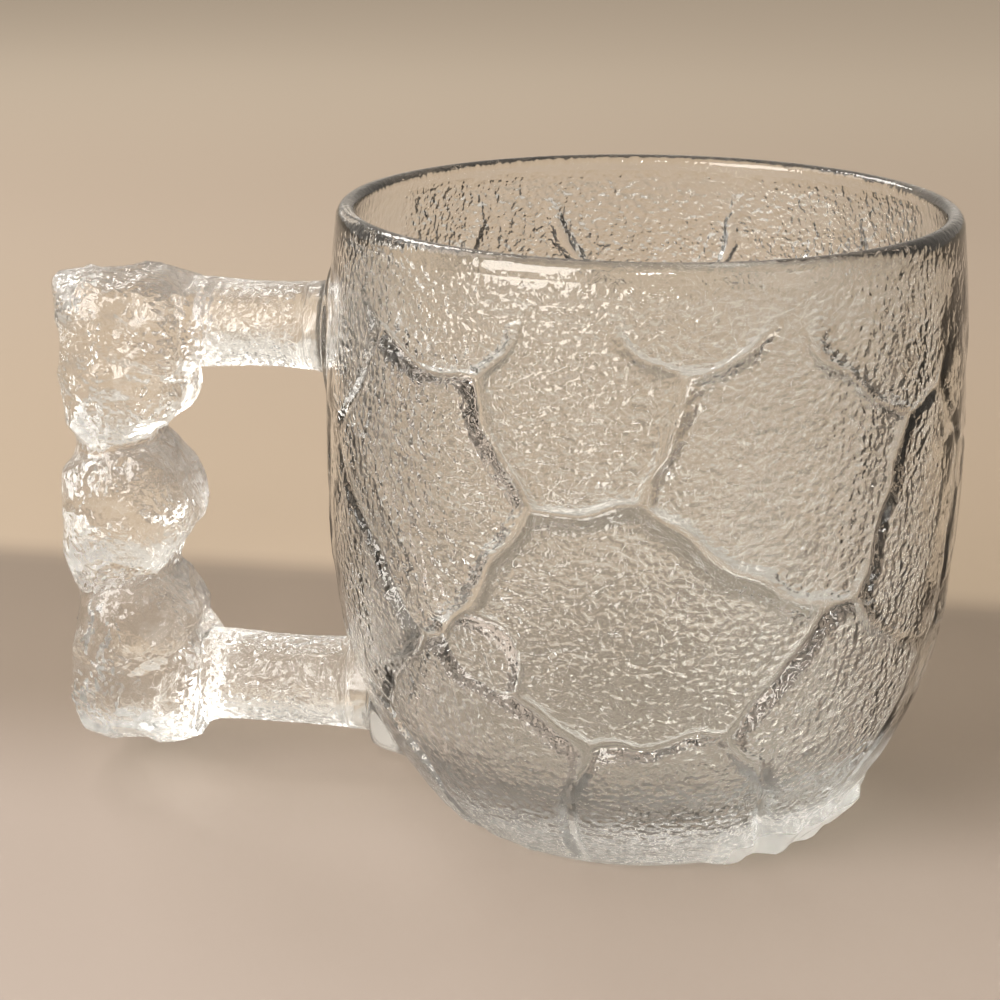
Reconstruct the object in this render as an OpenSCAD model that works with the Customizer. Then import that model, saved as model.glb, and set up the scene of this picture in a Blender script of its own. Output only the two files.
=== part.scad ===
// Pressed glass mug with a rubble-stone relief and a handle of stacked stones, in millimetres.
// The origin is the centre of the foot on the mug's axis, +Z is up and the handle points to -X.

/* [Body] */
// Height from the foot to the top of the rim
mug_h = 90; // [80:1:110]
// Outside diameter at the rim
rim_d = 88; // [82:0.5:96]
// Outside diameter at the widest part of the belly
belly_d = 92; // [90:0.5:104]
// Height of the widest part of the belly
belly_z = 58; // [50:1:64]
// Diameter of the flat foot
foot_d = 58; // [52:1:66]
// Height of the rounded edge of the foot
foot_edge = 1.6; // [0.8:0.2:2.4]
// Thickness of the side wall
wall_t = 4.6; // [4:0.2:6]
// Thickness of the fire-polished lip
rim_t = 2.6; // [2:0.2:4]
// Thickness of the base
base_t = 9; // [7:0.5:12]
// Height of the rounded corner between the inside floor and the wall
floor_corner_h = 17; // [10:1:22]

/* [Stone relief] */
// Depth of the smooth channels between the stones
relief_depth = 1.5; // [0.6:0.1:2]
// Width of the channels between the stones
channel_w = 5.6; // [3:0.2:6]
// How far the middle of a stone swells past its edge
stone_swell = 0.5; // [0:0.1:0.8]
// Height of the band under the lip, in which the stones fade out
band_h = 10; // [6:0.5:14]
// Number of lumps round the foot
foot_lumps = 27; // [18:1:36]
// Depth of the notches between the lumps of the foot
lump_depth = 0.9; // [0:0.1:1.2]
// Height up to which the foot is lumpy
lump_h = 6; // [4:0.5:8]
// How far the thick lumps stand out that hang on the foot in one place
drip_h = 2.5; // [0:0.5:4]
// Height up to which the thick lumps reach
drip_top = 8.5; // [6:0.5:12]

/* [Handle] */
// How far below the top of the rim the middle of the upper arm lies
upper_arm_drop = 20; // [16:0.5:24]
// Thickness of the upper arm
upper_arm_d = 13; // [11:0.5:14]
// Height of the middle of the lower arm
lower_arm_z = 14; // [13:0.5:17]
// Thickness of the lower arm
lower_arm_d = 14; // [11:0.5:15]
// Room for the fingers between the belly and the stacked stones
finger_room = 21.5; // [18:0.5:26]
// Depth of the stacked stones, from the finger side to the outside
stone_depth = 20; // [16:0.5:28]
// Width of the stacked stones, across the handle
stone_w = 22; // [18:0.5:26]
// How far the top stone rises above the upper arm
top_rise = 0.9; // [0.4:0.1:3]
// How far the bottom stone reaches below the lower arm
bottom_drop = 3; // [0.4:0.1:4]
// Height of the rough grain on the stones and arms
grain_h = 0.35; // [0:0.05:0.5]

/* [Joints] */
// Length of the clear collar between the wall and the upper arm
upper_collar_l = 3.4; // [2.4:0.2:5]
// Length of the clear collar between the wall and the lower arm
lower_collar_l = 4.2; // [2.4:0.2:6]
// How far the upper collar flares past its arm where it meets the wall
upper_collar_flare = 2.2; // [0.5:0.1:2.6]
// How far the lower collar flares past its arm where it meets the wall
lower_collar_flare = 1.1; // [0.5:0.1:1.6]
// Width of the flat seat on the wall, outside the foot of each collar
seat_margin = 2.8; // [2.4:0.1:4]
// Width of the soft shoulder between a seat and the stones round it
seat_shoulder = 3.2; // [2:0.2:5]

/* [Hidden] */

rim_r = rim_d / 2;
belly_r = belly_d / 2;
foot_r = foot_d / 2;
lip_r = rim_t / 2;

// Columns round the body and rows up its outside, its lip, its floor corner and its inside
columns = 112;
outer_rows = 39;
lip_rows = 4;
corner_rows = 3;
inner_rows = 4;

// Points round a section of the handle, steps between two sections, and steps of a collar's flare
section_points = 28;
section_steps = 3;
flare_steps = 8;

// Powers of the belly's curve: how fast the lower part draws in, and the upper part
lower_curve = 3.17;
upper_curve = 2;

// Share of the band over which the stones fade out
band_fade_share = 0.8;

// Where round the foot the thick lumps hang as a share of a turn, how far they spread to either side, the
// share of that over which they fade out, and how high the glass stands between two of them
drip_turn_share = 0.895;
drip_spread_share = 0.095;
drip_fade_share = 0.4;
drip_low_share = 0.45;

// Beside the mould joints at +X and -X the relief is lower: from which cosine of the turn on, over how wide
// a step, and by how much
parting_from_share = 0.83;
parting_width_share = 0.1;
parting_relief_share = 0.6;

// Each stone as a share of a turn, a share of the height, its size and its width over its height
stone_shares = [
    [0.655, 0.63, 1.15, 0.9],
    [0.735, 0.79, 0.95, 1.0],
    [0.828, 0.69, 1.12, 1.1],
    [0.757, 0.46, 1.15, 1.35],
    [0.672, 0.21, 1.0, 1.2],
    [0.785, 0.15, 0.8, 1.4],
    [0.875, 0.27, 0.95, 1.1],
    [0.925, 0.56, 1.0, 0.8],
    [0.893, 0.89, 0.65, 1.2],
    [0.692, 0.40, 0.45, 1.0],
    [0.782, 0.92, 0.45, 1.5],
    [0.667, 0.91, 0.55, 1.4],
    [0.590, 0.42, 0.95, 1.0],
    [0.578, 0.82, 0.60, 1.0],
    [0.585, 0.13, 0.75, 1.2],
    [0.500, 0.47, 1.05, 0.9],
    [0.420, 0.52, 1.00, 1.0],
    [0.412, 0.24, 0.95, 1.1],
    [0.425, 0.83, 0.80, 1.2],
    [0.345, 0.70, 1.05, 0.9],
    [0.325, 0.40, 1.00, 1.2],
    [0.330, 0.13, 0.80, 1.3],
    [0.265, 0.86, 0.70, 1.3],
    [0.248, 0.60, 1.10, 1.0],
    [0.235, 0.26, 1.05, 1.1],
    [0.165, 0.79, 0.95, 1.1],
    [0.155, 0.47, 1.05, 1.0],
    [0.150, 0.15, 0.90, 1.3],
    [0.075, 0.66, 1.10, 1.0],
    [0.070, 0.32, 1.00, 1.1],
    [0.085, 0.90, 0.60, 1.4],
    [0.995, 0.81, 0.95, 1.0],
    [0.000, 0.50, 0.95, 1.1],
    [0.975, 0.18, 0.95, 1.2],
    [0.060, 0.09, 0.60, 1.2]
];

// Sections of the stacked stones, from the upper arm to the lower one. Each row has the finger side as a
// share of the depth and of the gap between the arms, the outside as a share of the depth and of the
// stack's height, the half width as a share, and how square the section is
section_shares = [
    [0.00, 0.98, 0.00, 0.985, 0.80, 0.6],
    [0.01, 0.96, 0.22, 1.00, 0.93, 0.9],
    [0.02, 0.95, 0.86, 1.00, 0.98, 1.0],
    [0.02, 0.93, 0.975, 0.97, 0.99, 1.0],
    [0.02, 0.89, 0.975, 0.82, 1.00, 1.0],
    [0.08, 0.83, 0.97, 0.70, 0.94, 0.8],
    [0.24, 0.755, 0.92, 0.635, 0.76, 0.4],
    [0.14, 0.69, 0.98, 0.59, 0.88, 0.6],
    [-0.01, 0.53, 1.00, 0.50, 0.97, 0.8],
    [0.01, 0.42, 1.00, 0.42, 0.95, 0.8],
    [0.20, 0.27, 0.94, 0.335, 0.76, 0.4],
    [0.11, 0.20, 0.96, 0.29, 0.90, 0.7],
    [0.00, 0.10, 0.98, 0.18, 0.99, 0.9],
    [0.00, 0.06, 0.98, 0.08, 0.98, 1.0],
    [0.00, 0.04, 0.88, 0.005, 0.94, 0.9],
    [-0.02, 0.02, 0.24, 0.00, 0.88, 0.8],
    [-0.06, 0.00, -0.04, 0.015, 0.78, 0.5]
];

// Where along an arm its waist and its swell lie, and the arm's size there
arm_waist_shares = [0.45, 0.97];
arm_swell_shares = [0.9, 1.02];

// The exponent of a round section and what a fully square one adds
round_power = 2;
square_power = 1.4;

// Heights, seats and faces that the handle takes from the body
upper_arm_z = mug_h - upper_arm_drop;
stack_top_z = upper_arm_z + upper_arm_d / 2 + top_rise;
stack_bottom_z = lower_arm_z - lower_arm_d / 2 - bottom_drop;
gap_top_z = upper_arm_z - upper_arm_d / 2;
gap_bottom_z = lower_arm_z + lower_arm_d / 2;
upper_seat_x = wall_r(upper_arm_z);
lower_seat_x = wall_r(lower_arm_z) + lower_collar_flare / 2;
upper_arm_x = upper_seat_x + upper_collar_l;
lower_arm_x = lower_seat_x + lower_collar_l;
stone_x = belly_r + finger_room;

glass_tint = [0.84, 0.88, 0.84, 0.6];
collar_tint = [0.72, 0.80, 0.76, 0.8];
handle_tint = [0.90, 0.91, 0.90, 0.7];

function mix(a, b, t) = a + (b - a) * t;

// A soft step from 0 to 1 while t goes from 0 to 1
function soft(t) = let (c = min(1, max(0, t))) c * c * (3 - 2 * c);

// Outside radius of the plain body at a height
function wall_r(z) =
    z < belly_z
    ? belly_r - (belly_r - foot_r) * pow(1 - max(z, 0) / belly_z, lower_curve)
    : belly_r - (belly_r - rim_r) * pow((z - belly_z) / (mug_h - belly_z), upper_curve);

// Distance from a point of the wall to a stone's middle, over the stone's size
function stone_near(angle, z, stone) =
    let (
        turn = angle / 360 - stone[0],
        round = (turn - floor(turn + 0.5)) * 2 * PI * belly_r,
        rise = z - stone[1] * mug_h
    )
    norm([round / stone[3], rise]) / stone[2];

// Depth of the relief below the plain body: 0 on the stones, relief_depth in the channels
function relief(angle, z) =
    let (
        near = [for (stone = stone_shares) stone_near(angle, z, stone)],
        first = min(near),
        second = min([for (d = near) if (d > first) d]),
        edge = soft((second - first) / channel_w),
        plain = soft((z - (mug_h - rim_t - band_h)) / (band_h * band_fade_share)),
        parting = parting_relief_share * soft((abs(cos(angle)) - parting_from_share) / parting_width_share)
    )
    mix(relief_depth * (1 - edge) + stone_swell * (1 - soft(edge / 2)), 0, plain) * (1 - parting);

// Notches between the lumps of the foot
function foot_notch(angle, z) =
    lump_depth * (1 - soft(z / lump_h)) * pow(abs(cos(angle * foot_lumps / 2)), 3);

// Thick lumps that hang on the foot in one place
function foot_drip(angle, z) =
    let (
        away = abs(angle / 360 - drip_turn_share) / drip_spread_share,
        lump = mix(drip_low_share, 1, abs(sin(angle * foot_lumps / 2)))
    )
    drip_h * lump * soft((drip_top - z) / (drip_top * drip_fade_share))
        * soft((1 - away) / drip_fade_share);

// The wall's radius with a flat seat for a collar worked in, square to the X axis
function seated_r(r, angle, z, seat_x, arm_z, collar_r) =
    let (
        flat_r = seat_x / max(0.1, -cos(angle)),
        off = norm([r * sin(angle), z - arm_z]) - (collar_r + seat_margin)
    )
    cos(angle) > 0 ? r : mix(flat_r, r, soft(off / seat_shoulder));

function outer_r(angle, z) =
    let (
        plain = wall_r(z) - relief(angle, z) - foot_notch(angle, z) + foot_drip(angle, z),
        upper = seated_r(plain, angle, z, upper_seat_x, upper_arm_z, upper_arm_d / 2 + upper_collar_flare)
    )
    seated_r(upper, angle, z, lower_seat_x, lower_arm_z, lower_arm_d / 2 + lower_collar_flare);

// Inside radius: the plain body less a wall that thins towards the lip
function inner_r(z) =
    wall_r(z) - mix(wall_t, rim_t, soft((z - belly_z) / (mug_h - belly_z)));

floor_top_z = base_t + floor_corner_h;
lip_z = mug_h - lip_r;

function column_angle(j) = j * 360 / columns;

function ring(r, z) = [for (j = [0:columns - 1]) [r * cos(column_angle(j)), r * sin(column_angle(j)), z]];

function relief_ring(z) = [
    for (j = [0:columns - 1])
    let (r = outer_r(column_angle(j), z))
    [r * cos(column_angle(j)), r * sin(column_angle(j)), z]
];

// Rings of the body, from the foot up the outside, over the lip and down the inside to the floor
body_rings = concat(
    [ring(foot_r - foot_edge, 0)],
    [for (i = [0:outer_rows]) relief_ring(mix(foot_edge, lip_z, i / outer_rows))],
    [
        for (i = [1:lip_rows])
        ring(rim_r - lip_r + lip_r * cos(180 * i / lip_rows), lip_z + lip_r * sin(180 * i / lip_rows))
    ],
    [
        for (i = [1:inner_rows])
        let (z = mix(lip_z, floor_top_z, i / inner_rows))
        ring(inner_r(z), z)
    ],
    [
        for (i = [1:corner_rows])
        let (a = 90 * i / corner_rows)
        ring(
            inner_r(floor_top_z) - floor_corner_h * (1 - cos(a)),
            floor_top_z - floor_corner_h * sin(a)
        )
    ]
);

// Points of closed rings, one list after the other, with a point on the first and the last ring's face
function loft_points(rings, first, last) = concat([for (r = rings) each r], [first, last]);

function reach(p) = norm([p[0], p[1]]);

// Triangles between neighbouring rings, and a fan over each end. A four-sided patch is cut along the
// diagonal that lies deeper, so that a slanting channel stays open
function loft_faces(rings, rows, count) =
    concat(
        [
            for (i = [0:rows - 2], j = [0:count - 1], half = [0, 1])
            let (
                k = (j + 1) % count,
                a = i * count + j,
                b = i * count + k,
                c = a + count,
                d = b + count,
                one_way = reach(rings[i][j]) + reach(rings[i + 1][k]),
                other_way = reach(rings[i][k]) + reach(rings[i + 1][j])
            )
            one_way <= other_way
            ? (half == 0 ? [a, c, d] : [a, d, b])
            : (half == 0 ? [a, c, b] : [b, c, d])
        ],
        [for (j = [0:count - 1]) [rows * count, j, (j + 1) % count]],
        [
            for (j = [0:count - 1])
            let (last = (rows - 1) * count)
            [rows * count + 1, last + (j + 1) % count, last + j]
        ]
    );

module loft(rings, first, last) {
    polyhedron(
        points = loft_points(rings, first, last),
        faces = loft_faces(rings, len(rings), len(rings[0])),
        convexity = 6
    );
}

// A section of the handle: finger side, outside, half width and squareness, all in the XZ plane's sizes
function arm_section(x, z, d, square = 0) = [x, z - d / 2, x, z + d / 2, d / 2, square];

// The stones' section from its shares
function stone_section(s) = [
    stone_x + s[0] * stone_depth,
    mix(gap_bottom_z, gap_top_z, s[1]),
    stone_x + s[2] * stone_depth,
    mix(stack_bottom_z, stack_top_z, s[3]),
    s[4] * stone_w / 2,
    s[5]
];

function upper_arm_section(shares) =
    arm_section(mix(upper_arm_x, stone_x, shares[0]), upper_arm_z, upper_arm_d * shares[1]);

upper_arm_sections = [
    arm_section(upper_arm_x, upper_arm_z, upper_arm_d),
    upper_arm_section(arm_waist_shares),
    upper_arm_section(arm_swell_shares)
];

// The lower arm hangs from the same side of the sections, so its finger side is its top
function turned(s) = [s[2], s[3], s[0], s[1], s[4], s[5]];

function lower_arm_section(shares) =
    turned(arm_section(mix(lower_arm_x, stone_x, shares[0]), lower_arm_z, lower_arm_d * shares[1]));

lower_arm_sections = [
    lower_arm_section(arm_swell_shares),
    lower_arm_section(arm_waist_shares),
    turned(arm_section(lower_arm_x, lower_arm_z, lower_arm_d))
];

key_sections = concat(upper_arm_sections, [for (s = section_shares) stone_section(s)], lower_arm_sections);

// A smooth curve through four values, between the second and the third
function through(a, b, c, d, t) =
    b + t * (c - a) / 2
    + t * t * (2 * a - 5 * b + 4 * c - d) / 2
    + t * t * t * (3 * b - a - 3 * c + d) / 2;

function section_at(u) =
    let (
        last = len(key_sections) - 1,
        i = min(floor(u), last - 1),
        s = [for (k = [-1:2]) key_sections[min(last, max(0, i + k))]]
    )
    through(s[0], s[1], s[2], s[3], u - i);

// Rough grain: long ridges on the arms and lumps on the stones, fading out at both ends
function grain(u, a) =
    let (
        last = len(key_sections) - 1,
        fade = soft(u) * soft(last - u)
    )
    grain_h * fade * (sin(5 * a + 50 * u) + sin(7 * a - 35 * u) * cos(3 * a)) / 2;

function power_round(v, p) = sign(v) * pow(abs(v), 2 / p);

function section_ring(u) =
    let (
        s = section_at(u),
        middle = [(s[0] + s[2]) / 2, (s[1] + s[3]) / 2],
        half = [(s[2] - s[0]) / 2, (s[3] - s[1]) / 2],
        p = round_power + square_power * max(0, s[5])
    )
    [
        for (j = [0:section_points - 1])
        let (
            a = j * 360 / section_points,
            across = power_round(cos(a), p) * (1 + grain(u, a) / norm(half)),
            side = power_round(sin(a), p) * (s[4] + grain(u, a))
        )
        [-(middle[0] + half[0] * across), side, middle[1] + half[1] * across]
    ];

section_count = (len(key_sections) - 1) * section_steps;

// A collar's outline from the wall to the arm: a hollow quarter round, then straight
function collar_outline(arm_r, length, flare) = concat(
    [[0, 0]],
    [
        for (i = [0:flare_steps])
        let (a = 90 * i / flare_steps)
        [arm_r + flare * (1 - sin(a)), length * (1 - cos(a))]
    ],
    [[0, length]]
);

module collar(seat_x, z, arm_d, length, flare) {
    translate([-seat_x, 0, z])
        rotate([0, -90, 0])
            rotate_extrude($fn = 64)
                polygon(collar_outline(arm_d / 2, length, flare));
}

module mug_body() {
    color(glass_tint)
        loft(body_rings, [0, 0, 0], [0, 0, base_t]);
}

module upper_collar() {
    color(collar_tint)
        collar(upper_seat_x, upper_arm_z, upper_arm_d, upper_collar_l, upper_collar_flare);
}

module lower_collar() {
    color(collar_tint)
        collar(lower_seat_x, lower_arm_z, lower_arm_d, lower_collar_l, lower_collar_flare);
}

module handle() {
    color(handle_tint)
        loft(
            [for (i = [0:section_count]) section_ring(i / section_steps)],
            [-upper_arm_x, 0, upper_arm_z],
            [-lower_arm_x, 0, lower_arm_z]
        );
}

mug_body();
upper_collar();
lower_collar();
handle();
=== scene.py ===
"""Clear pressed glass mug with a rubble-stone relief and a handle of stacked rough stones.

The scene is in metres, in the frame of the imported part: the origin is the centre of the foot, +Z is up,
the handle points to -X, and the photograph's camera looks roughly along +Y. The named sizes of the mug
are in mm, and MM brings them to metres.
"""

import bpy
import numpy as np
from mathutils import Matrix, Vector
from mathutils.kdtree import KDTree


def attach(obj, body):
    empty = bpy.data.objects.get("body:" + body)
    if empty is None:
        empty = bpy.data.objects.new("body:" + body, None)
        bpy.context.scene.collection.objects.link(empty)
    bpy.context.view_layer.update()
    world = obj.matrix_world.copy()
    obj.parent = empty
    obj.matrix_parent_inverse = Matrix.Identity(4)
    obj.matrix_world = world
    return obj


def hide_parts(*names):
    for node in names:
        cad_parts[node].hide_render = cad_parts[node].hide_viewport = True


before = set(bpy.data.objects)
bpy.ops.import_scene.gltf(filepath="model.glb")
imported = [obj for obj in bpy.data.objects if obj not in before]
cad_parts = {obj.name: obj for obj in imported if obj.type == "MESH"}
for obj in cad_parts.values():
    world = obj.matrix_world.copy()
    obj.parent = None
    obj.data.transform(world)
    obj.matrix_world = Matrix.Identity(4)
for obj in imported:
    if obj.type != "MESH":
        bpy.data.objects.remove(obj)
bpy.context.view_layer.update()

MM = 0.001


# The body is one piece of clear soda-lime glass, pressed in a patterned mould. Rough rubble stones stand
# on its outside with smooth channels between them, the lip is fire-polished and the foot is lumpy.

MUG_H = 90.0
RIM_R = 44.0
BELLY_R = 46.0
BELLY_Z = 58.0
FOOT_R = 29.0
LOWER_CURVE = 3.17
UPPER_CURVE = 2.0
FOOT_EDGE = 1.6
WALL_T = 4.6
RIM_T = 2.6
BASE_T = 9.0
FLOOR_CORNER_H = 17.0

# The relief, and the band under the lip where it fades out
RELIEF_DEPTH = 1.45
CHANNEL_W = 4.0
STONE_SWELL = 0.45
CHANNEL_FLOOR_SHARE = 0.10
CHANNEL_SIDE_SHARE = 0.75
BAND_H = 10.0
BAND_FADE_SHARE = 0.8

# The notches round the foot, and the thick lumps that hang on it in one place
FOOT_LUMPS = 27
LUMP_DEPTH = 0.9
LUMP_H = 6.0
NOTCH_EVEN_SHARE = 0.6
NOTCH_GAIN = 1.3
DRIP_H = 2.0
DRIP_TOP = 8.5
DRIP_TURN_SHARE = 0.895
DRIP_SPREAD_SHARE = 0.095
DRIP_FADE_SHARE = 0.4
DRIP_LOW_SHARE = 0.45
DRIP_ROUNDING = 0.7

# The handle's two arms, and the flat seats for its collars
UPPER_ARM_Z = 70.0
UPPER_ARM_D = 13.0
LOWER_ARM_Z = 14.0
LOWER_ARM_D = 14.0
UPPER_FLARE = 2.2
LOWER_FLARE = 1.1
SEAT_MARGIN = 0.6
SEAT_SHOULDER = 3.0
SMOOTH_ROUND = 7.0
FACING_LEAST = 0.1

# The mould parts at the handle's side and across from it, and the skin is smooth there
PARTING_FROM_SHARE = 0.83
PARTING_WIDTH_SHARE = 0.1

# The channels are shallower towards both sides and at the back
SIDE_FROM_SHARE = 0.55
SIDE_WIDTH_SHARE = 0.35
SIDE_RELIEF_SHARE = 0.85
BACK_FROM_SHARE = 0.15
BACK_WIDTH_SHARE = 0.4
BACK_RELIEF_SHARE = 0.45

# The ridges of the stones' skin, from noise of this size
RIDGE_SIZE = 2.6
RIDGE_SEED = 7
RIDGE_TOP = 0.5
RIDGE_SLOPE = 1.6
RIDGE_ROUNDING = 0.01
RIDGE_LOW_H = 0.12
RIDGE_MORE_H = 0.10
GRIT_SEED = 12

# How far the skin may stand out past the plain wall
SKIN_LIMIT = 0.02

# Below the lip the skin turns to slanting strokes, and then fades out
STROKE_LEAN = 0.5
STROKE_STRETCH = 4.0
UNDER_LIP_H = 14.0
UNDER_LIP_FADE = 6.0
LIP_FADE = 2.0
LIP_CLEAR_H = 4.4

# The other noises on the body: the size of their lumps, their depth and their seed
STONE_WANDER = (9.0, 1.6, 3)
EDGE_WANDER = (3.5, 0.5, 4)
RISE_WANDER = (8.0, 1.5, 5)
STONE_LUMPS = (9.0, 0.45, 6)
STONE_DENTS = (4.0, 0.15, 9)
STONE_PITS = (1.5, 0.07, 8)
LIP_STROKES = (1.3, 0.17, 10)
NOTCH_PATCHES = (14.0, 1.0, 11)
DRIP_SHIFT = (12.0, 0.4, 13)
DRIP_LUMPS = (3.5, 0.5, 14)
DRIP_TOP_WANDER = (6.0, 1.2, 15)

# Each stone as a share of a turn, a share of the height, its size and its width over its height
STONE_SHARES = np.array([
    [0.655, 0.63, 1.15, 0.9],
    [0.735, 0.79, 0.95, 1.0],
    [0.828, 0.69, 1.12, 1.1],
    [0.757, 0.46, 1.15, 1.35],
    [0.672, 0.21, 1.0, 1.2],
    [0.785, 0.15, 0.8, 1.4],
    [0.875, 0.27, 0.95, 1.1],
    [0.925, 0.56, 1.0, 0.8],
    [0.893, 0.89, 0.65, 1.2],
    [0.692, 0.40, 0.45, 1.0],
    [0.782, 0.92, 0.45, 1.5],
    [0.667, 0.91, 0.55, 1.4],
    [0.590, 0.42, 0.95, 1.0],
    [0.578, 0.82, 0.60, 1.0],
    [0.585, 0.13, 0.75, 1.2],
    [0.500, 0.47, 1.05, 0.9],
    [0.420, 0.52, 1.00, 1.0],
    [0.412, 0.24, 0.95, 1.1],
    [0.425, 0.83, 0.80, 1.2],
    [0.345, 0.70, 1.05, 0.9],
    [0.325, 0.40, 1.00, 1.2],
    [0.330, 0.13, 0.80, 1.3],
    [0.265, 0.86, 0.70, 1.3],
    [0.248, 0.60, 1.10, 1.0],
    [0.235, 0.26, 1.05, 1.1],
    [0.165, 0.79, 0.95, 1.1],
    [0.155, 0.47, 1.05, 1.0],
    [0.150, 0.15, 0.90, 1.3],
    [0.075, 0.66, 1.10, 1.0],
    [0.070, 0.32, 1.00, 1.1],
    [0.085, 0.90, 0.60, 1.4],
    [0.995, 0.81, 0.95, 1.0],
    [0.000, 0.50, 0.95, 1.1],
    [0.975, 0.18, 0.95, 1.2],
    [0.060, 0.09, 0.60, 1.2],
])

# Pressed soda-lime glass: faintly green through a wall, a little warmer where it is thick
THIN_GLASS = (0.974, 0.986, 0.98, 1.0)
THICK_GLASS = (0.994, 0.992, 0.968, 1.0)
THICK_TO = 12.0

# The melted face of a seat ends this far inside its collar's edge, and lies within this of its plane
MELT_EDGE = 0.3
MELT_SLACK = 0.5

# How deep the orange-peel skin is, as a share of its full depth
LIP_STIPPLE = 0.12
CHANNEL_STIPPLE = 0.12
UNDER_LIP_STIPPLE = 0.7
SEAT_STIPPLE = 0.15
PARTING_SMOOTH_SHARE = 0.9
DRIP_SMOOTH_SHARE = 0.8

PEEL_DETAIL = 0.8
GLASS_IOR = 1.51
LAMP_LIGHT = (0.62, 0.63, 0.61, 1.0)
CLEAR_ROUGHNESS = 0.05
FROST_ROUGHNESS = 0.3
FOOT_FROST_SHARE = 0.8

CLOUD_GAIN = 1.6

# Points round the mug, and rows up the outside, over the lip, down the inside and round the floor's corner
COLUMNS = 600
OUTER_ROWS = 135
LIP_ROWS = 8
INNER_ROWS = 12
CORNER_ROWS = 8


def mix(a, b, t):
    """The value a share t of the way from a to b."""
    return a + (b - a) * t


def soft(t):
    """A step from 0 to 1 that starts and ends level: 3t^2 - 2t^3 with t held between 0 and 1."""
    t = np.clip(t, 0.0, 1.0)
    return t * t * (3.0 - 2.0 * t)


def cloud(points, size, seed):
    """Gradient noise at points, about -1 to 1, with lumps about size across.

    Each corner of a cubic lattice has a random direction; the value is the dot product of that direction
    with the way from the corner to the point, blended over the eight corners with 6t^5 - 15t^4 + 10t^3.
    CLOUD_GAIN brings it to that range.
    """
    rng = np.random.default_rng(seed)
    order = rng.permutation(256)
    order = np.concatenate([order, order, order])
    directions = rng.normal(size=(256, 3))
    directions /= np.linalg.norm(directions, axis=1)[:, None]
    q = np.asarray(points, float) / size
    cell = np.floor(q).astype(int)
    part = q - cell
    blend = part**3 * (part * (part * 6.0 - 15.0) + 10.0)
    cell &= 255
    total = np.zeros(q.shape[:-1])
    for dx in (0, 1):
        for dy in (0, 1):
            for dz in (0, 1):
                corner = np.array([dx, dy, dz])
                c = (cell + corner) & 255
                pick = order[order[order[c[..., 0]] + c[..., 1]] + c[..., 2]]
                dot = (directions[pick] * (part - corner)).sum(-1)
                weight = np.where(corner, blend, 1.0 - blend).prod(-1)
                total += dot * weight
    return total * CLOUD_GAIN


def grain(points, noise):
    """Noise at points from its size, depth and seed, about minus to plus its depth."""
    size, depth, seed = noise
    return depth * cloud(points, size, seed)


def wall_r(z):
    """The plain body's radius, drawn in below and above the belly by a power of the height's share."""
    low = BELLY_R - (BELLY_R - FOOT_R) * np.clip(1.0 - z / BELLY_Z, 0.0, 1.0) ** LOWER_CURVE
    high = BELLY_R - (BELLY_R - RIM_R) * np.clip((z - BELLY_Z) / (MUG_H - BELLY_Z), 0.0, 1.0) ** UPPER_CURVE
    return np.where(z < BELLY_Z, low, high)


def stone_edges(turn, z):
    """How far inside a stone a point lies, from 0 in the middle of a channel up, and which stone it is.

    A point's distance to a stone is the length over the wall divided by the stone's size. The channel runs
    where the two nearest stones are equally near.
    """
    around = turn[..., None] - STONE_SHARES[:, 0]
    around = (around - np.round(around)) * 2.0 * np.pi * BELLY_R
    rise = z[..., None] - STONE_SHARES[:, 1] * MUG_H
    near = np.hypot(around / STONE_SHARES[:, 3], rise) / STONE_SHARES[:, 2]
    which = near.argmin(-1)
    two = np.partition(near, 1, axis=-1)
    return (two[..., 1] - two[..., 0]) / CHANNEL_W, which


def seated(r, angle, z, seat_x, arm_z, collar_r):
    """The wall's radius with a round flat seat for a collar, square to X, and a soft shoulder round it."""
    flat = seat_x / np.maximum(FACING_LEAST, -np.cos(angle))
    off = np.hypot(r * np.sin(angle), z - arm_z) - (collar_r + SEAT_MARGIN)
    return np.where(np.cos(angle) > 0.0, r, mix(flat, r, soft(off / SEAT_SHOULDER)))


UPPER_SEAT_X = float(wall_r(np.array(UPPER_ARM_Z)))
LOWER_SEAT_X = float(wall_r(np.array(LOWER_ARM_Z))) + LOWER_FLARE / 2.0
UPPER_COLLAR_R = UPPER_ARM_D / 2.0 + UPPER_FLARE
LOWER_COLLAR_R = LOWER_ARM_D / 2.0 + LOWER_FLARE


def stones(turns, angles, z, where):
    """How far the channels lie below the stones, the share of stone at each point, and which stone it is.

    The stones' edges wander a little, as rough stones' do. A channel's side is a soft step, and a stone
    swells a little towards its middle. Under the lip the relief fades out.
    """
    wander = grain(where, STONE_WANDER) + grain(where, EDGE_WANDER)
    edge, which = stone_edges(turns + wander / (2.0 * np.pi * BELLY_R), z + grain(where, RISE_WANDER))
    on_stone = soft((edge - CHANNEL_FLOOR_SHARE) / CHANNEL_SIDE_SHARE)
    lowered = RELIEF_DEPTH * (1.0 - on_stone) + STONE_SWELL * (1.0 - soft(on_stone / 2.0))
    behind = soft((np.sin(angles) - BACK_FROM_SHARE) / BACK_WIDTH_SHARE)
    aside = soft((np.abs(np.cos(angles)) - SIDE_FROM_SHARE) / SIDE_WIDTH_SHARE)
    lowered = lowered * (1.0 - SIDE_RELIEF_SHARE * aside) * (1.0 - BACK_RELIEF_SHARE * behind)
    lumps = on_stone * (grain(where, STONE_LUMPS) + grain(where, STONE_DENTS))
    band = soft((z - (MUG_H - RIM_T - BAND_H)) / (BAND_H * BAND_FADE_SHARE))
    return (lowered - lumps) * (1.0 - band), on_stone, which


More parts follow.
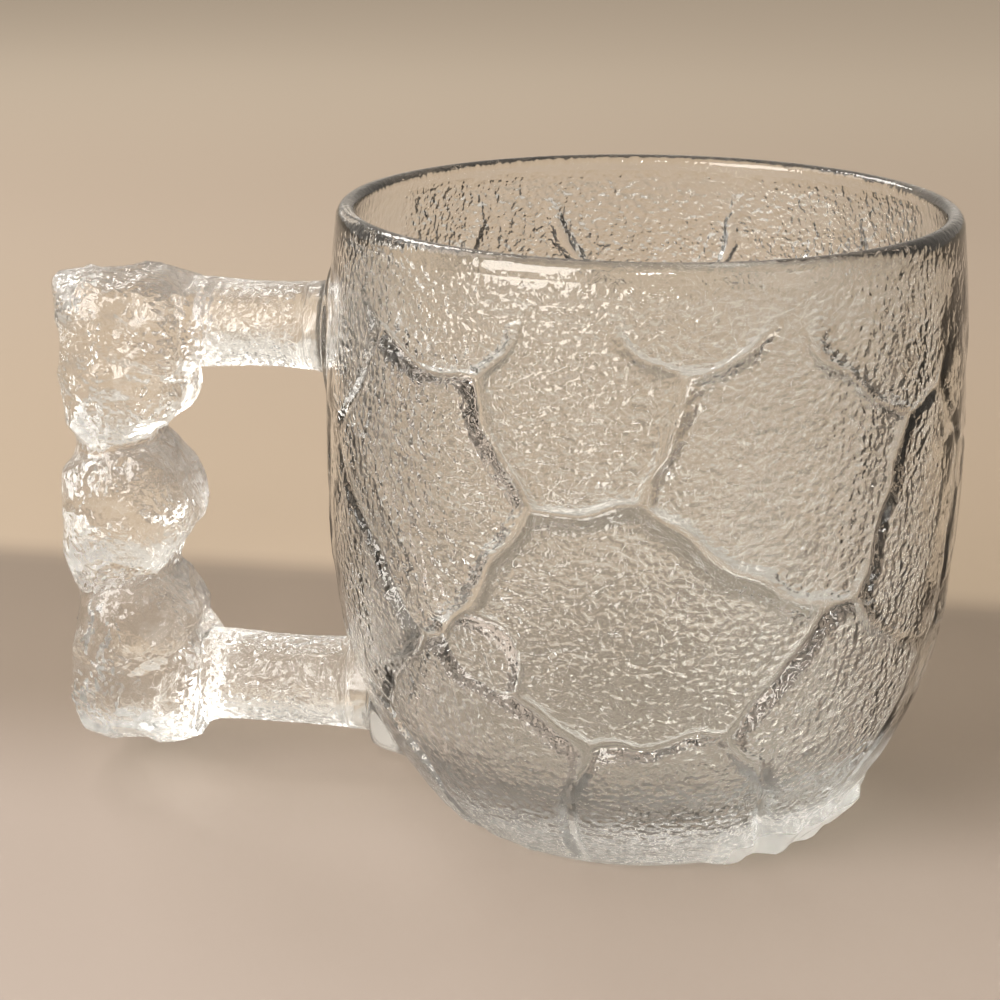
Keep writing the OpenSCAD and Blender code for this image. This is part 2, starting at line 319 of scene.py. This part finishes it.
def rough_skin(turns, z, where, on_stone, which, under_lip):
    """The fine skin: ridges and pits on the stones, rougher on some than on others, strokes under the lip.

    A ridge runs where a noise crosses zero, so its height falls with the noise's size. The strokes are
    noise on slanting coordinates that are drawn together along the stroke.
    """
    grit = np.random.default_rng(GRIT_SEED).uniform(0.0, 1.0, len(STONE_SHARES))[which]
    ridges = RIDGE_TOP - np.sqrt(cloud(where, RIDGE_SIZE, RIDGE_SEED) ** 2 + RIDGE_ROUNDING) * RIDGE_SLOPE
    bumps = (RIDGE_LOW_H + RIDGE_MORE_H * grit) * ridges + grain(where, STONE_PITS)
    along = turns * 2.0 * np.pi * BELLY_R
    slant = np.stack([along - STROKE_LEAN * z, (z + STROKE_LEAN * along) / STROKE_STRETCH, 0.0 * z], -1)
    return mix(on_stone * bumps, grain(slant, LIP_STROKES), under_lip)


def foot_form(turns, angles, z, where):
    """How deep the notches round the foot are, how far its lumps stand out, and the share of lump.

    Notches are a power of a cosine round the mug, in patches. The thick lumps hang in one place: a power
    of a sine, within soft limits round the mug and upwards.
    """
    notch = LUMP_DEPTH * (1.0 - soft(z / LUMP_H)) * np.abs(np.cos(angles * FOOT_LUMPS / 2.0)) ** 3
    notch = notch * soft(NOTCH_EVEN_SHARE + grain(where, NOTCH_PATCHES)) * NOTCH_GAIN
    lump = np.abs(np.sin(angles * FOOT_LUMPS / 2.0 + grain(where, DRIP_SHIFT))) ** DRIP_ROUNDING
    away = np.abs(turns - DRIP_TURN_SHARE) / DRIP_SPREAD_SHARE
    top = DRIP_TOP + grain(where, DRIP_TOP_WANDER)
    hanging = soft((top - z) / (DRIP_TOP * DRIP_FADE_SHARE)) * soft((1.0 - away) / DRIP_FADE_SHARE)
    drip = (DRIP_H * mix(DRIP_LOW_SHARE, 1.0, lump) + grain(where, DRIP_LUMPS)) * hanging
    return notch, drip, hanging


def body_grid():
    """Rings of points up the outside, over the lip and down the inside, with their stipple and frost.

    A ring's radius is the plain wall less the channels and the notches of the foot, with the rough skin
    and the foot's lumps. The lip is a half circle, and the corner of the floor a quarter circle.
    """
    turn = np.arange(COLUMNS) / COLUMNS
    angle = turn * 2.0 * np.pi
    lip_r = RIM_T / 2.0
    lip_z = MUG_H - lip_r

    z = mix(FOOT_EDGE, lip_z, np.linspace(0.0, 1.0, OUTER_ROWS + 1))[:, None] + 0.0 * turn
    turns = turn + 0.0 * z
    angles = angle + 0.0 * z
    plain = wall_r(z)
    where = np.stack([plain * np.cos(angles), plain * np.sin(angles), z], -1)
    below_lip = soft((MUG_H - RIM_T - z) / LIP_FADE)
    under_lip = soft((z - (MUG_H - UNDER_LIP_H)) / UNDER_LIP_FADE) * below_lip
    parting = soft((np.abs(np.cos(angles)) - PARTING_FROM_SHARE) / PARTING_WIDTH_SHARE)

    sunk, on_stone, which = stones(turns, angles, z, where)
    skin = rough_skin(turns, z, where, on_stone, which, under_lip) * (1.0 - parting)
    notch, drip, hanging = foot_form(turns, angles, z, where)
    r = np.minimum(plain - sunk + skin * below_lip - notch, plain + SKIN_LIMIT) + drip
    r = seated(r, angles, z, UPPER_SEAT_X, UPPER_ARM_Z, UPPER_COLLAR_R)
    r = seated(r, angles, z, LOWER_SEAT_X, LOWER_ARM_Z, LOWER_COLLAR_R)

    # The glass ran smooth round the collars while it was hot, and the lumps on the foot are smooth too
    stipple = mix(mix(CHANNEL_STIPPLE, 1.0, on_stone), UNDER_LIP_STIPPLE, under_lip)
    stipple = mix(stipple, LIP_STIPPLE, soft((z - MUG_H + LIP_CLEAR_H) / LIP_FADE))
    for arm_z, collar_r in ((UPPER_ARM_Z, UPPER_COLLAR_R), (LOWER_ARM_Z, LOWER_COLLAR_R)):
        away = np.hypot(plain * np.sin(angles), z - arm_z) - collar_r
        near_seat = mix(SEAT_STIPPLE, 1.0, soft(away / SMOOTH_ROUND))
        stipple = stipple * np.where(np.cos(angles) > 0.0, 1.0, near_seat)
    stipple = stipple * (1.0 - PARTING_SMOOTH_SHARE * parting) * (1.0 - DRIP_SMOOTH_SHARE * hanging)
    frost = np.maximum(hanging, FOOT_FROST_SHARE * soft((THICK_TO - z) / THICK_TO))

    flat = np.zeros((1, COLUMNS))
    rings = [(flat + FOOT_R - FOOT_EDGE, flat, flat, flat + FOOT_FROST_SHARE), (r, z, stipple, frost)]

    t = (np.arange(LIP_ROWS) + 1.0)[:, None] / LIP_ROWS * np.pi + 0.0 * turn
    around_lip = RIM_R - lip_r + lip_r * np.cos(t)
    rings.append((around_lip, lip_z + lip_r * np.sin(t), 0.0 * t + LIP_STIPPLE, 0.0 * t))

    floor_top = BASE_T + FLOOR_CORNER_H
    t = (np.arange(INNER_ROWS) + 1.0)[:, None] / INNER_ROWS + 0.0 * turn
    inner_z = mix(lip_z, floor_top, t)
    thick = mix(WALL_T, RIM_T, soft((inner_z - BELLY_Z) / (MUG_H - BELLY_Z)))
    rings.append((wall_r(inner_z) - thick, inner_z, 0.0 * t, 0.0 * t))

    t = (np.arange(CORNER_ROWS) + 1.0)[:, None] / CORNER_ROWS * np.pi / 2.0 + 0.0 * turn
    side = float(wall_r(np.array(floor_top))) - WALL_T
    corner_r = side - FLOOR_CORNER_H * (1.0 - np.cos(t))
    rings.append((corner_r, floor_top - FLOOR_CORNER_H * np.sin(t), 0.0 * t, 0.0 * t))

    r, z, stipple, frost = (np.concatenate(column) for column in zip(*rings))
    points = np.stack([r * np.cos(angle), r * np.sin(angle), z], -1)
    return points, stipple, frost


def loft_mesh(name, points, first, last, **values):
    """A closed mesh from rings of points, row by row, with a fan of triangles over each end.

    Quads join each ring to the next, and the point after the last column is the first one again. Each
    named value is an array over the grid that becomes a point attribute, 0 at both ends' middles.
    """
    rows, count = points.shape[:2]
    verts = np.concatenate([points.reshape(-1, 3), [first, last]]) * MM
    i, j = np.meshgrid(np.arange(rows - 1), np.arange(count), indexing="ij")
    k = (j + 1) % count
    quads = np.stack([i * count + j, i * count + k, (i + 1) * count + k, (i + 1) * count + j], -1)
    j = np.arange(count)
    k = (j + 1) % count
    low = np.stack([np.full(count, rows * count), k, j], -1)
    high = np.stack([np.full(count, rows * count + 1), (rows - 1) * count + j, (rows - 1) * count + k], -1)
    mesh = bpy.data.meshes.new(name)
    mesh.from_pydata(verts, [], quads.reshape(-1, 4).tolist() + low.tolist() + high.tolist())
    mesh.polygons.foreach_set("use_smooth", np.ones(len(mesh.polygons), bool))
    for kind, value in values.items():
        layer = mesh.attributes.new(kind, "FLOAT", "POINT")
        layer.data.foreach_set("value", np.concatenate([value.ravel(), [0.0, 0.0]]))
    mesh.validate()
    mesh.update()
    piece = bpy.data.objects.new(name, mesh)
    bpy.context.scene.collection.objects.link(piece)
    return piece


def clear_glass(name, grain_size, grain_depth, roughness):
    """Clear pressed glass with an orange-peel skin: a noise about grain_size across in object coordinates.

    The skin's depth follows the mesh's stipple value, so that channels, lip and seats stay smooth. The
    mesh's thickness value takes the tint from THIN_GLASS to THICK_GLASS where much glass lies behind the
    surface. Lamps shine through the glass as a pale shadow.
    """
    material = bpy.data.materials.new(name)
    material.use_nodes = True
    nodes, links = material.node_tree.nodes, material.node_tree.links
    nodes.clear()

    place = nodes.new("ShaderNodeTexCoord")
    peel = nodes.new("ShaderNodeTexNoise")
    peel.inputs["Scale"].default_value = 1.0 / (grain_size * MM)
    peel.inputs["Detail"].default_value = PEEL_DETAIL
    links.new(place.outputs["Object"], peel.inputs["Vector"])
    mask = nodes.new("ShaderNodeAttribute")
    mask.attribute_name = "stipple"
    bump = nodes.new("ShaderNodeBump")
    bump.inputs["Strength"].default_value = 1.0
    bump.inputs["Distance"].default_value = grain_depth * MM
    height = nodes.new("ShaderNodeMath")
    height.operation = "MULTIPLY"
    links.new(peel.outputs["Fac"], height.inputs[0])
    links.new(mask.outputs["Fac"], height.inputs[1])
    links.new(height.outputs["Value"], bump.inputs["Height"])
    thickness = nodes.new("ShaderNodeAttribute")
    thickness.attribute_name = "thickness"
    tint = nodes.new("ShaderNodeMix")
    tint.data_type = "RGBA"
    tint.inputs["A"].default_value = THIN_GLASS
    tint.inputs["B"].default_value = THICK_GLASS
    links.new(thickness.outputs["Fac"], tint.inputs["Factor"])
    glass = nodes.new("ShaderNodeBsdfPrincipled")
    links.new(tint.outputs["Result"], glass.inputs["Base Color"])
    glass.inputs["Roughness"].default_value = roughness
    glass.inputs["IOR"].default_value = GLASS_IOR
    glass.inputs["Transmission Weight"].default_value = 1.0
    links.new(bump.outputs["Normal"], glass.inputs["Normal"])
    lamp_light = nodes.new("ShaderNodeBsdfTransparent")
    lamp_light.inputs["Color"].default_value = LAMP_LIGHT
    path = nodes.new("ShaderNodeLightPath")
    either = nodes.new("ShaderNodeMixShader")
    links.new(path.outputs["Is Shadow Ray"], either.inputs["Fac"])
    links.new(glass.outputs["BSDF"], either.inputs[1])
    links.new(lamp_light.outputs["BSDF"], either.inputs[2])
    out = nodes.new("ShaderNodeOutputMaterial")
    links.new(either.outputs["Shader"], out.inputs["Surface"])
    return material


def melted_joint():
    """The face where two pieces have melted together: glass on both sides, so nothing bends or shines."""
    material = bpy.data.materials.new("melted_joint")
    material.use_nodes = True
    joint = material.node_tree.nodes["Principled BSDF"]
    joint.inputs["Base Color"].default_value = (1.0, 1.0, 1.0, 1.0)
    joint.inputs["Roughness"].default_value = 0.0
    joint.inputs["IOR"].default_value = 1.0
    joint.inputs["Transmission Weight"].default_value = 1.0
    nodes, links = material.node_tree.nodes, material.node_tree.links
    lamp_light = nodes.new("ShaderNodeBsdfTransparent")
    path = nodes.new("ShaderNodeLightPath")
    either = nodes.new("ShaderNodeMixShader")
    links.new(path.outputs["Is Shadow Ray"], either.inputs["Fac"])
    links.new(joint.outputs["BSDF"], either.inputs[1])
    links.new(lamp_light.outputs["BSDF"], either.inputs[2])
    links.new(either.outputs["Shader"], nodes["Material Output"].inputs["Surface"])
    return material


def face_middles(piece):
    """The middles of a mesh's faces, in mm."""
    middles = np.empty(len(piece.data.polygons) * 3)
    piece.data.polygons.foreach_get("center", middles)
    return middles.reshape(-1, 3) / MM


body_points, body_stipple, body_frost = body_grid()
body_thickness = soft((THICK_TO - body_points[..., 2]) / THICK_TO)
body = loft_mesh(
    "glass_body", body_points, (0.0, 0.0, 0.0), (0.0, 0.0, BASE_T),
    stipple=body_stipple, thickness=body_thickness, frost=body_frost,
)
body_glass = clear_glass("body_glass", grain_size=1.0, grain_depth=0.9, roughness=CLEAR_ROUGHNESS)
body.data.materials.append(body_glass)

# The lumps on the foot are frosty, and the foot beside them a little less
nodes, links = body_glass.node_tree.nodes, body_glass.node_tree.links
frost_mask = nodes.new("ShaderNodeAttribute")
frost_mask.attribute_name = "frost"
frost = nodes.new("ShaderNodeMapRange")
frost.inputs["To Min"].default_value = CLEAR_ROUGHNESS
frost.inputs["To Max"].default_value = FROST_ROUGHNESS
links.new(frost_mask.outputs["Fac"], frost.inputs["Value"])
links.new(frost.outputs["Result"], nodes["Principled BSDF"].inputs["Roughness"])
melted = melted_joint()
body.data.materials.append(melted)
middles = face_middles(body)
in_seat = np.zeros(len(middles), bool)
for seat_x, arm_z, collar_r in (
    (UPPER_SEAT_X, UPPER_ARM_Z, UPPER_COLLAR_R),
    (LOWER_SEAT_X, LOWER_ARM_Z, LOWER_COLLAR_R),
):
    off = np.hypot(middles[:, 1], middles[:, 2] - arm_z)
    in_seat |= (off < collar_r - MELT_EDGE) & (middles[:, 0] < MELT_SLACK - seat_x)
body.data.polygons.foreach_set("material_index", in_seat.astype(np.int32))
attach(body, "root")
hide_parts("mug_body")


# The collars are where the handle was pressed against the hot wall: short smooth stubs of clear glass
# that flare into the wall, with no pattern on them.

UPPER_COLLAR_L = 3.4
LOWER_COLLAR_L = 4.2
COLLAR_SINK = 0.02
COLLAR_COLUMNS = 96
FLARE_STEPS = 16
COLLAR_WAVES = (4.0, 0.22, 17)


def collar(name, seat_x, arm_z, arm_d, length, flare):
    """A round stub along -X whose radius falls from the wall to the arm as a hollow quarter circle."""
    t = np.linspace(0.0, np.pi / 2.0, FLARE_STEPS + 1)
    r = arm_d / 2.0 + flare * (1.0 - np.sin(t))
    x = seat_x + length * (1.0 - np.cos(t))
    x[0] -= COLLAR_SINK
    x[-1] += COLLAR_SINK
    a = np.arange(COLLAR_COLUMNS) / COLLAR_COLUMNS * 2.0 * np.pi
    points = np.stack([
        -x[:, None] + 0.0 * a,
        -r[:, None] * np.cos(a),
        arm_z + r[:, None] * np.sin(a),
    ], -1)
    wave = 1.0 + grain(points, COLLAR_WAVES) / r[:, None]
    points[..., 1] *= wave
    points[..., 2] = arm_z + (points[..., 2] - arm_z) * wave
    plain = np.zeros(points.shape[:2])
    piece = loft_mesh(
        name, points, (-x[0], 0.0, arm_z), (-x[-1], 0.0, arm_z),
        stipple=plain + 1.0, thickness=plain + 1.0,
    )
    piece.data.materials.append(collar_glass)
    piece.data.materials.append(melted)
    ends = len(piece.data.polygons) - 2 * COLLAR_COLUMNS
    piece.data.polygons.foreach_set("material_index", np.arange(len(piece.data.polygons)) >= ends)
    return piece


collar_glass = clear_glass("collar_glass", grain_size=2.5, grain_depth=0.8, roughness=0.22)
upper_collar = collar(
    "clear_collar_upper", UPPER_SEAT_X, UPPER_ARM_Z, UPPER_ARM_D, UPPER_COLLAR_L, UPPER_FLARE,
)
lower_collar = collar(
    "clear_collar_lower", LOWER_SEAT_X, LOWER_ARM_Z, LOWER_ARM_D, LOWER_COLLAR_L, LOWER_FLARE,
)
for piece, node in ((upper_collar, "upper_collar"), (lower_collar, "lower_collar")):
    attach(piece, "root")
    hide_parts(node)


# The handle is one pressed piece: three rough stones stacked upright, and an arm at the top and at the
# bottom whose skin runs in lengthwise streaks.

FINGER_ROOM = 21.5
STONE_DEPTH = 20.0
STONE_W = 22.0
TOP_RISE = 0.9
BOTTOM_DROP = 3.0

# Finger side as shares of the depth and of the gap, outside as shares of the depth and of the stack,
# half width as a share, and how square the section is
SECTION_SHARES = [
    [0.00, 0.98, 0.00, 0.985, 0.80, 0.6],
    [0.01, 0.96, 0.22, 1.00, 0.93, 0.9],
    [0.02, 0.95, 0.86, 1.00, 0.98, 1.0],
    [0.02, 0.93, 0.975, 0.97, 0.99, 1.0],
    [0.02, 0.89, 0.975, 0.82, 1.00, 1.0],
    [0.08, 0.83, 0.97, 0.70, 0.94, 0.8],
    [0.24, 0.755, 0.92, 0.635, 0.76, 0.4],
    [0.14, 0.69, 0.98, 0.59, 0.88, 0.6],
    [-0.01, 0.53, 1.00, 0.50, 0.97, 0.8],
    [0.01, 0.42, 1.00, 0.42, 0.95, 0.8],
    [0.20, 0.27, 0.94, 0.335, 0.76, 0.4],
    [0.11, 0.20, 0.96, 0.29, 0.90, 0.7],
    [0.00, 0.10, 0.98, 0.18, 0.99, 0.9],
    [0.00, 0.06, 0.98, 0.08, 0.98, 1.0],
    [0.00, 0.04, 0.88, 0.005, 0.94, 0.9],
    [-0.02, 0.02, 0.24, 0.00, 0.88, 0.8],
    [-0.06, 0.00, -0.04, 0.015, 0.78, 0.5],
]
ARM_SHARES = ((0.0, 1.0), (0.45, 0.97), (0.9, 1.02))
SECTION_POINTS = 192
SECTION_STEPS = 18
ROUND_POWER = 2.0
SQUARE_POWER = 1.4

# The skin: hollow facets round scattered points, low lumps, and streaks along the arms
SQUARE_FROM = 0.6
END_FADE_SHARE = 0.02
FACETS = 330
FACET_SEED = 31
FACET_MARGIN = 3.0
FACET_REACH = 5.5
FACET_HOLLOW = 0.055
FACET_DEPTH = 1.0
SKIN_TOP = 0.3
HANDLE_LUMPS = (8.0, 0.35, 21)
HANDLE_GRIT = (2.4, 0.06, 23)
STREAK_STRETCH = (0.2, 1.0, 1.0)
ARM_STREAKS = (1.7, 0.20, 24)
ARM_GRIT = (1.6, 0.08, 25)
SMOOTH_PATCHES = (5.0, 1.6, 26)
PATCH_EVEN_SHARE = 0.5
ARM_STIPPLE = 0.7
STONE_LOW_STIPPLE = 0.3
STONE_MORE_STIPPLE = 0.5
HANDLE_THICKNESS = 0.3


def handle_sections():
    """The key sections from the upper arm's end round the stones to the lower arm's end."""
    upper_x, lower_x = UPPER_SEAT_X + UPPER_COLLAR_L, LOWER_SEAT_X + LOWER_COLLAR_L
    stone_x = BELLY_R + FINGER_ROOM
    gap = (LOWER_ARM_Z + LOWER_ARM_D / 2.0, UPPER_ARM_Z - UPPER_ARM_D / 2.0)
    stack = (LOWER_ARM_Z - LOWER_ARM_D / 2.0 - BOTTOM_DROP, UPPER_ARM_Z + UPPER_ARM_D / 2.0 + TOP_RISE)
    sections = []
    for along, size in ARM_SHARES:
        x, half = mix(upper_x, stone_x, along), UPPER_ARM_D * size / 2.0
        sections.append([x, UPPER_ARM_Z - half, x, UPPER_ARM_Z + half, half, 0.0])
    for s in SECTION_SHARES:
        sections.append([
            stone_x + s[0] * STONE_DEPTH, mix(*gap, s[1]),
            stone_x + s[2] * STONE_DEPTH, mix(*stack, s[3]),
            s[4] * STONE_W / 2.0, s[5],
        ])
    for along, size in ARM_SHARES[::-1]:
        x, half = mix(lower_x, stone_x, along), LOWER_ARM_D * size / 2.0
        sections.append([x, LOWER_ARM_Z + half, x, LOWER_ARM_Z - half, half, 0.0])
    return np.array(sections)


def handle_grid():
    """Rings along the handle: a smooth curve through the key sections, each a rounded square.

    A section runs from its finger side to its outside. The curve through four neighbours a, b, c, d is the
    cubic that passes b and c with the slopes (c - a) / 2 and (d - b) / 2.
    """
    keys = handle_sections()
    last = len(keys) - 1
    u = np.linspace(0.0, last, last * SECTION_STEPS + 1)
    i = np.minimum(np.floor(u).astype(int), last - 1)
    t = (u - i)[:, None]
    a, b, c, d = (keys[np.clip(i + k, 0, last)] for k in (-1, 0, 1, 2))
    s = b + t * (c - a) / 2 + t * t * (2 * a - 5 * b + 4 * c - d) / 2 + t**3 * (3 * b - a - 3 * c + d) / 2
    middle = (s[:, 0:2] + s[:, 2:4]) / 2.0
    half = (s[:, 2:4] - s[:, 0:2]) / 2.0
    power = (ROUND_POWER + SQUARE_POWER * np.maximum(0.0, s[:, 5]))[:, None]
    a = np.arange(SECTION_POINTS) / SECTION_POINTS * 2.0 * np.pi
    across = np.sign(np.cos(a)) * np.abs(np.cos(a)) ** (2.0 / power)
    side = np.sign(np.sin(a)) * np.abs(np.sin(a)) ** (2.0 / power) * s[:, 4][:, None]
    points = np.stack([
        -(middle[:, 0:1] + half[:, 0:1] * across),
        side,
        middle[:, 1:2] + half[:, 1:2] * across,
    ], -1)
    return points, u / last, s[:, 5]


def outward(points):
    """Unit normals of a closed loft: the cross product of the steps round it and along it."""
    around = np.roll(points, -1, 1) - np.roll(points, 1, 1)
    along = np.gradient(points, axis=0)
    n = np.cross(around, along)
    n /= np.maximum(np.linalg.norm(n, axis=-1, keepdims=True), 1e-9)
    centre = points.mean(1, keepdims=True)
    return n * np.sign(((points - centre) * n).sum(-1, keepdims=True).mean())


def rough_handle():
    """The handle's rings with a rough skin: hollow facets on the stones, streaks along the arms.

    A facet is the part of the skin nearest to one of many scattered points, and it is hollowed by the
    square of that distance, which leaves ridges between facets.
    """
    points, share, square = handle_grid()
    n = outward(points)
    stone = soft(square / SQUARE_FROM)[:, None]
    fade = (soft(share / END_FADE_SHARE) * soft((1.0 - share) / END_FADE_SHARE))[:, None]
    rng = np.random.default_rng(FACET_SEED)
    low, high = points.min((0, 1)), points.max((0, 1))
    seeds = rng.uniform(low - FACET_MARGIN, high + FACET_MARGIN, (FACETS, 3))
    tree = KDTree(len(seeds))
    for k, seed in enumerate(seeds):
        tree.insert(seed, k)
    tree.balance()
    near = np.array([tree.find(p)[2] for p in points.reshape(-1, 3)]).reshape(points.shape[:2])
    facets = np.minimum(near, FACET_REACH) ** 2 * FACET_HOLLOW - FACET_DEPTH
    rough = facets + grain(points, HANDLE_LUMPS) + grain(points, HANDLE_GRIT)
    streaks = grain(points * np.array(STREAK_STRETCH), ARM_STREAKS) + grain(points, ARM_GRIT)
    off = np.minimum(mix(streaks, rough, stone), SKIN_TOP)
    patches = soft(PATCH_EVEN_SHARE + grain(points, SMOOTH_PATCHES))
    stipple = mix(ARM_STIPPLE, STONE_LOW_STIPPLE + STONE_MORE_STIPPLE * patches, stone)
    return points + n * (off * fade)[..., None], stipple * soft(fade)


handle_points, handle_stipple = rough_handle()
handle = loft_mesh(
    "stone_handle", handle_points,
    handle_points[0].mean(0), handle_points[-1].mean(0),
    stipple=handle_stipple, thickness=0.0 * handle_stipple + HANDLE_THICKNESS,
)
handle_glass = clear_glass("handle_glass", grain_size=1.2, grain_depth=1.0, roughness=0.15)
handle.data.materials.append(handle_glass)
handle.data.materials.append(melted)
ends = len(handle.data.polygons) - 2 * SECTION_POINTS
handle.data.polygons.foreach_set("material_index", np.arange(len(handle.data.polygons)) >= ends)
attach(handle, "root")
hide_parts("handle")


# The stage isn't part of the mug: one flat floor in the colours of warm stone, with painted shade that
# darkens it towards the mug and most just behind it, and yellower further off, where a wall stands in the
# picture.

FLOOR_HALF = 4.0
FLOOR_ROUGHNESS = 0.7

# The lumpy foot touches the floor only here and there, so a film of air lies under the glass
FLOOR_GAP = 0.0003

# The floor's colour by its distance in front of the mug or behind it. The fall towards the mug and the dark
# stops just behind it are painted shade.
FLOOR_COLOURS_AND_SHADE = (
    (-0.15, (0.330, 0.277, 0.243, 1.0)),
    (-0.03, (0.285, 0.234, 0.199, 1.0)),
    (0.03, (0.180, 0.139, 0.104, 1.0)),
    (0.085, (0.165, 0.127, 0.094, 1.0)),
    (0.10, (0.318, 0.249, 0.180, 1.0)),
    (0.45, (0.330, 0.265, 0.206, 1.0)),
    (0.9, (0.405, 0.341, 0.270, 1.0)),
)

floor_mesh = bpy.data.meshes.new("floor")
corners = [(x * FLOOR_HALF, y * FLOOR_HALF, -FLOOR_GAP) for x, y in ((-1, -1), (1, -1), (1, 1), (-1, 1))]
floor_mesh.from_pydata(corners, [], [(0, 1, 2, 3)])
floor = bpy.data.objects.new("floor", floor_mesh)
bpy.context.scene.collection.objects.link(floor)
floor_material = bpy.data.materials.new("floor_stone_and_shade")
floor_material.use_nodes = True
nodes, links = floor_material.node_tree.nodes, floor_material.node_tree.links
floor_shader = nodes["Principled BSDF"]
floor_shader.inputs["Roughness"].default_value = FLOOR_ROUGHNESS
floor_place = nodes.new("ShaderNodeTexCoord")
floor_axes = nodes.new("ShaderNodeSeparateXYZ")
links.new(floor_place.outputs["Object"], floor_axes.inputs["Vector"])
floor_share = nodes.new("ShaderNodeMapRange")
floor_share.inputs["From Min"].default_value = FLOOR_COLOURS_AND_SHADE[0][0]
floor_share.inputs["From Max"].default_value = FLOOR_COLOURS_AND_SHADE[-1][0]
links.new(floor_axes.outputs["Y"], floor_share.inputs["Value"])
# The ramp carries the stone's tones and the painted shade near the mug
floor_tone_and_shade_ramp = nodes.new("ShaderNodeValToRGB")
floor_tone_and_shade_ramp.color_ramp.interpolation = "EASE"
for k, (place, colour) in enumerate(FLOOR_COLOURS_AND_SHADE):
    share = (place - FLOOR_COLOURS_AND_SHADE[0][0]) / (FLOOR_COLOURS_AND_SHADE[-1][0] - FLOOR_COLOURS_AND_SHADE[0][0])
    stop = floor_tone_and_shade_ramp.color_ramp.elements[k] if k < 2 else floor_tone_and_shade_ramp.color_ramp.elements.new(share)
    stop.position = share
    stop.color = colour
links.new(floor_share.outputs["Result"], floor_tone_and_shade_ramp.inputs["Fac"])
links.new(floor_tone_and_shade_ramp.outputs["Color"], floor_shader.inputs["Base Color"])
floor_mesh.materials.append(floor_material)


# Plain soft studio light: a warm sky that is brighter above and on the handle's side, and four square
# softboxes that face the middle of the mug.

BRIGHT_SIDE = (-0.6, 0.1, 0.79)
DARK_SKY = (0.36, 0.31, 0.26, 1.0)
BRIGHT_SKY = (0.84, 0.77, 0.68, 1.0)
MUG_MIDDLE = Vector((0.0, 0.0, 0.05))

# Each softbox's place, side, watts and colour
SOFTBOXES = {
    "key": ((-0.70, -0.85, 0.55), 0.8, 22.0, (1.0, 0.96, 0.91)),
    "fill": ((0.10, -0.95, 0.62), 0.12, 2.6, (1.0, 0.97, 0.93)),
    "side": ((-0.55, 0.02, 0.58), 0.4, 1.2, (1.0, 0.96, 0.91)),
    "back": ((-0.55, 0.55, 0.75), 0.35, 4.0, (1.0, 0.97, 0.93)),
}

world = bpy.data.worlds.new("soft_room")
bpy.context.scene.world = world
world.use_nodes = True
nodes, links = world.node_tree.nodes, world.node_tree.links
sky_place = nodes.new("ShaderNodeTexCoord")
sky_side = nodes.new("ShaderNodeVectorMath")
sky_side.operation = "DOT_PRODUCT"
sky_side.inputs[1].default_value = BRIGHT_SIDE
links.new(sky_place.outputs["Generated"], sky_side.inputs[0])
sky_share = nodes.new("ShaderNodeMapRange")
sky_share.inputs["From Min"].default_value = -1.0
links.new(sky_side.outputs["Value"], sky_share.inputs["Value"])
sky_mix = nodes.new("ShaderNodeMix")
sky_mix.data_type = "RGBA"
sky_mix.inputs["A"].default_value = DARK_SKY
sky_mix.inputs["B"].default_value = BRIGHT_SKY
links.new(sky_share.outputs["Result"], sky_mix.inputs["Factor"])
links.new(sky_mix.outputs["Result"], nodes["Background"].inputs["Color"])
nodes["Background"].inputs["Strength"].default_value = 1.0

for name, (place, side, watts, colour) in SOFTBOXES.items():
    lamp = bpy.data.lights.new(name, "AREA")
    lamp.size = side
    lamp.energy = watts
    lamp.color = colour
    holder = bpy.data.objects.new(name, lamp)
    holder.location = place
    holder.rotation_euler = (MUG_MIDDLE - Vector(place)).to_track_quat("-Z", "Y").to_euler()
    bpy.context.scene.collection.objects.link(holder)


# The camera stands where the photograph was taken from. It was fitted to the outlines of the rim, the
# sides, the foot and the handle.

CAMERA_PLACE = Vector((30.3, -324.2, 147.6)) * MM
CAMERA_TURN = np.radians(9.0)
CAMERA_DOWN = np.radians(17.42)
CAMERA_ROLL = np.radians(0.32)
SENSOR_W = 36.0
FOCAL_SHARE = 2.314

camera_data = bpy.data.cameras.new("photo_camera")
camera_data.sensor_width = SENSOR_W
camera_data.lens = SENSOR_W * FOCAL_SHARE
camera = bpy.data.objects.new("photo_camera", camera_data)
ahead = Vector((
    -np.sin(CAMERA_TURN) * np.cos(CAMERA_DOWN),
    np.cos(CAMERA_TURN) * np.cos(CAMERA_DOWN),
    -np.sin(CAMERA_DOWN),
))
turn_matrix = ahead.to_track_quat("-Z", "Y").to_matrix().to_4x4()
camera.matrix_world = Matrix.Translation(CAMERA_PLACE) @ turn_matrix @ Matrix.Rotation(CAMERA_ROLL, 4, "Z")
bpy.context.scene.collection.objects.link(camera)
bpy.context.scene.camera = camera

# Light passes many faces of clear glass before it leaves the mug
BOUNCES = 32
bpy.context.scene.view_settings.view_transform = "Standard"
bpy.context.scene.cycles.max_bounces = BOUNCES
bpy.context.scene.cycles.transmission_bounces = BOUNCES
